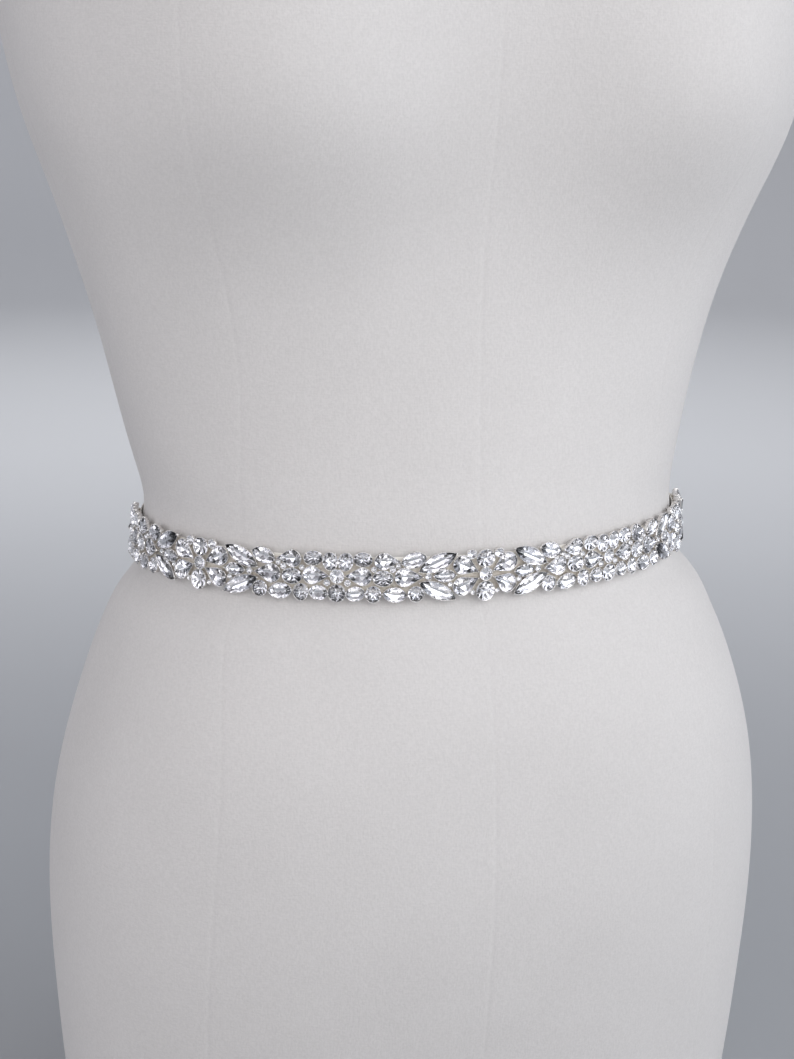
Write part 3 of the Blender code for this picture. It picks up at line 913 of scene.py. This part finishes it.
# One running stitch: mm up from its start, and out from the ribbon's face.
endStitch = [(0.0, -0.12), (0.25, 0.08), (0.85, 0.11), (1.45, 0.08), (1.7, -0.12)]


def stitchTube(places, first):
    # round thread through places given as (along, up, out)
    line = onWaist(*np.array(places).T)
    away = onWaist(places[0][0], 0, 1) - onWaist(places[0][0], 0, 0)
    run = np.gradient(line, axis=0)
    across = np.cross(run, away)
    across /= np.linalg.norm(across, axis=1)[:, None]
    lift = np.cross(across, run)
    lift /= np.linalg.norm(lift, axis=1)[:, None]
    turns = np.linspace(0, 2 * math.pi, sewing["sides"], endpoint=False)[:, None]
    radius = sewing["radiusMm"] * mm
    points = [p + radius * (a * np.cos(turns) + b * np.sin(turns)) for p, a, b in zip(line, across, lift)]
    return np.vstack(points), ringFaces(len(places), sewing["sides"], first=first)


def sewAll(material):
    paths = []
    margin = sewing["edgeMarginMm"]
    for along in np.arange(tapeFirst + margin, tapeLast - margin, sewing["edgePitchMm"]):
        for side in (1, -1):
            paths.append([(along + a, side * (trimShape["tapeWidthMm"] / 2 + u), trimShape["outMm"] + o)
                          for a, u, o in edgeStitch])
    for side in (1, -1):
        along = side * (halfGirth + ribbonShape["lapMm"] / 2 - sewing["endInsetMm"])
        face = ribbonLevel(along) + ribbonShape["layersMm"]
        for start in np.arange(*sewing["endSpanMm"], sewing["endPitchMm"]):
            paths.append([(along, start + u, face + o) for u, o in endStitch])
    points, faces = [], []
    for path in paths:
        tube, sides = stitchTube(path, len(points))
        points += list(tube)
        faces += sides
    return addMesh("sewingThread", points, faces, [material]), len(paths)


def makeThread():
    # Spun polyester thread: two plies, matt, with a little loose fibre
    ply = {"twistMm": 0.35}
    material, tree, shader = startMaterial("spunPolyesterThread", "#F1EDE6", Roughness=0.6, IOR=1.54)
    solid = addNode(tree, "TexCoord")
    twist = addNode(tree, "TexNoise", {"Vector": solid.outputs["Object"], "Detail": 2.0,
                    "Scale": 1 / (ply["twistMm"] * mm)})
    bump = addNode(tree, "Bump", {"Height": twist, "Strength": 0.4, "Distance": 0.08 * mm})
    tone = addNode(tree, "ValToRGB", {0: twist}, ((0, "#E2DCD2"), (1, "#F7F4EE")))
    setInputs(tree, shader, {"Normal": bump, "Base Color": tone})
    return material


threadPiece, stitchCount = sewAll(makeThread())
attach(threadPiece, "root")
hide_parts("crystal_trim", "satin_ribbon")
print("sewing:", stitchCount, "stitches")

# ---- hook and bar


def makeNickelPlate():
    # Spring steel, bent and nickel plated: smooth and bright, with faint drawing lines
    plate = {"linesPerMetre": 900.0}
    material, tree, shader = startMaterial("bentNickelPlatedSteel", "#BFBDB9", Roughness=0.24, Metallic=1.0)
    solid = addNode(tree, "TexCoord")
    lines = addNode(tree, "TexNoise", {"Vector": solid.outputs["Object"], "Detail": 2.0,
                    "Scale": plate["linesPerMetre"]})
    rough = addNode(tree, "MapRange", {0: lines, 1: 0.3, 2: 0.7, 3: 0.18, 4: 0.34})
    setInputs(tree, shader, {"Roughness": rough})
    return material


nickelPlate = makeNickelPlate()
bar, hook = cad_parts["closure_bar"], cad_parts["closure_hook"]
for node in (bar, hook):
    node.data.materials.clear()
    node.data.materials.append(nickelPlate)
print("hook and bar finished")

# ---- floor, light and camera


def makePaintedFloor():
    # Matt emulsion on a smooth board: pale cool grey, faintly uneven; painted shade makes it darker round the
    # form and lighter towards the wall
    paint = {"patchesPerMetre": 3.0, "unevenM": 0.12, "shadeNearM": 0.2, "shadeFarM": 1.7}
    material, tree, shader = startMaterial("paintedFloor", "#CBCED2", Roughness=0.75)
    solid = addNode(tree, "TexCoord")
    away = addNode(tree, "VectorMath", {0: solid.outputs["Object"]}, operation="LENGTH")
    patch = addNode(tree, "TexNoise", {"Vector": solid.outputs["Object"], "Detail": 4.0,
                    "Scale": paint["patchesPerMetre"]})
    uneven = addNode(tree, "Math", {0: patch, 1: paint["unevenM"], 2: away.outputs["Value"]},
                     operation="MULTIPLY_ADD")
    # painted shade: the floor is darkest close to the form and grows lighter further out, its edge made
    # uneven by the patches
    share = addNode(tree, "MapRange", {0: uneven, 1: paint["shadeNearM"], 2: paint["shadeFarM"]})
    tone = addNode(tree, "ValToRGB", {0: share}, ((0, "#A7AAAE"), (1, "#D8DADD")))
    tone.color_ramp.interpolation = "EASE"
    setInputs(tree, shader, {"Base Color": tone})
    return material


floorShape = {"inner": (0.6, 1.4), "flat": 2.7, "bend": 0.9, "bendStart": 0.1, "wall": 3.2, "sides": 96}


def addStage():
    # a flat floor that curves up into a low wall all round
    flat, bend, sides = (floorShape[k] for k in ("flat", "bend", "sides"))
    profile = [(radius, 0.0) for radius in (*floorShape["inner"], flat)]
    profile += [(flat + bend * math.sin(t), bend * (1 - math.cos(t)))
                for t in np.linspace(floorShape["bendStart"], math.pi / 2, 14)]
    profile.append((flat + bend, floorShape["wall"]))
    points = [(r * math.cos(a), r * math.sin(a), z) for r, z in profile
              for a in np.linspace(0, 2 * math.pi, sides, endpoint=False)]
    faces = ringFaces(len(profile), sides)
    points.append((0, 0, 0))
    faces += [(len(points) - 1, (j + 1) % sides, j) for j in range(sides)]
    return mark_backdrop(addMesh("studioFloor", points, faces, [makePaintedFloor()]))


# Soft panels. The low ones carry a grid, which narrows their light and spares the floor below them.
waistPoint = (0.0, 0.0, 0.3)
lamps = {
    # degrees round from the front, degrees up, metres away, size, watts, colour, spread, and another aim
    "windowAbove": (6, 52, 2.5, (3.4, 2.4), 3.2, "#FCFDFF", 180),
    "windowHighRight": (36, 38, 2.4, (2.4, 1.8), 6.4, "#F8FBFF", 180),
    "windowRight": (60, 21, 2.4, (2.4, 2.1), 19, "#F5F9FF", 130),
    "bounceLeft": (-88, 17, 2.4, (2.0, 1.7), 7.6, "#FCFBFF", 130),
    "bounceFrontLeft": (-52, 18, 2.3, (1.8, 1.6), 3.6, "#FCFBFF", 130),
    "bounceFront": (-14, 14, 2.3, (3.4, 1.5), 6.4, "#FFFCFA", 130),
    "panelNear": (4, 24, 0.95, (0.9, 0.5), 0.66, "#FFFFFF", 80),
    "behind": (178, 34, 2.4, (2.4, 1.4), 13, "#FFFFFF", 180),
    "roomFront": (-8, 20, 2.2, (4.0, 2.0), 4, "#FFFDFA", 180, (-0.5, -6.0, 1.4)),  # the room in front
    "wallWash": (164, 42, 1.7, (1.6, 0.5), 9, "#FFFFFF", 180, (1.5, 3.2, 0.2)),  # the backdrop alone
}


def addLight(name, turn, rise, distance, size, power, colour, spread, target=waistPoint):
    lamp = bpy.data.lights.new(name, "AREA")
    lamp.shape = "RECTANGLE"
    lamp.size, lamp.size_y = size
    lamp.energy = power
    lamp.spread = math.radians(spread)
    lamp.color = linear(colour)[:3]
    holder = bpy.data.objects.new(name, lamp)
    turn, rise = math.radians(turn), math.radians(rise)
    away = Vector((math.sin(turn) * math.cos(rise), -math.cos(turn) * math.cos(rise), math.sin(rise)))
    holder.location = Vector(waistPoint) + away * distance
    holder.rotation_euler = (holder.location - Vector(target)).to_track_quat("Z", "Y").to_euler()
    holder.visible_camera = False
    bpy.context.scene.collection.objects.link(holder)


def addCamera():
    # the view: a little above the waist, from the form's right, close enough to frame the sash
    view = {"distance": 0.900, "azimuth": -18.0, "elevation": 14.2, "right": -0.0055, "up": -0.005,
            "roll": 0.5, "lens": 73.46, "sensor": 36.0}
    a, e, roll = (math.radians(view[k]) for k in ("azimuth", "elevation", "roll"))
    back = Vector((math.sin(a) * math.cos(e), -math.cos(a) * math.cos(e), math.sin(e)))
    right = Vector((math.cos(a), math.sin(a), 0))
    upward = back.cross(right)
    axisY = (waistMiddle[:, 1].max() + waistMiddle[:, 1].min()) / 2
    aim = Vector((0, axisY, waistHeight + view["up"])) + right * view["right"]
    camera = bpy.data.objects.new("camera", bpy.data.cameras.new("camera"))
    camera.data.lens, camera.data.sensor_width = view["lens"], view["sensor"]
    turnedRight = right * math.cos(roll) + upward * math.sin(roll)
    turnedUp = upward * math.cos(roll) - right * math.sin(roll)
    camera.matrix_world = Matrix.Translation(aim + back * view["distance"]) @ Matrix(
        (turnedRight, turnedUp, back)).transposed().to_4x4()
    camera.data.clip_start, camera.data.clip_end = 0.01, 50
    bpy.context.scene.collection.objects.link(camera)
    bpy.context.scene.camera = camera


def addWorld():
    world = bpy.data.worlds.new("studio")
    bpy.context.scene.world = world
    world.use_nodes = True
    sky = world.node_tree.nodes["Background"]
    sky.inputs["Color"].default_value = linear("#F1ECF8")
    sky.inputs["Strength"].default_value = 0.17


addStage()
for name, panel in lamps.items():
    addLight(name, *panel)
addWorld()
addCamera()
bpy.context.scene.view_settings.view_transform = "Standard"
print("floor, light and camera placed")
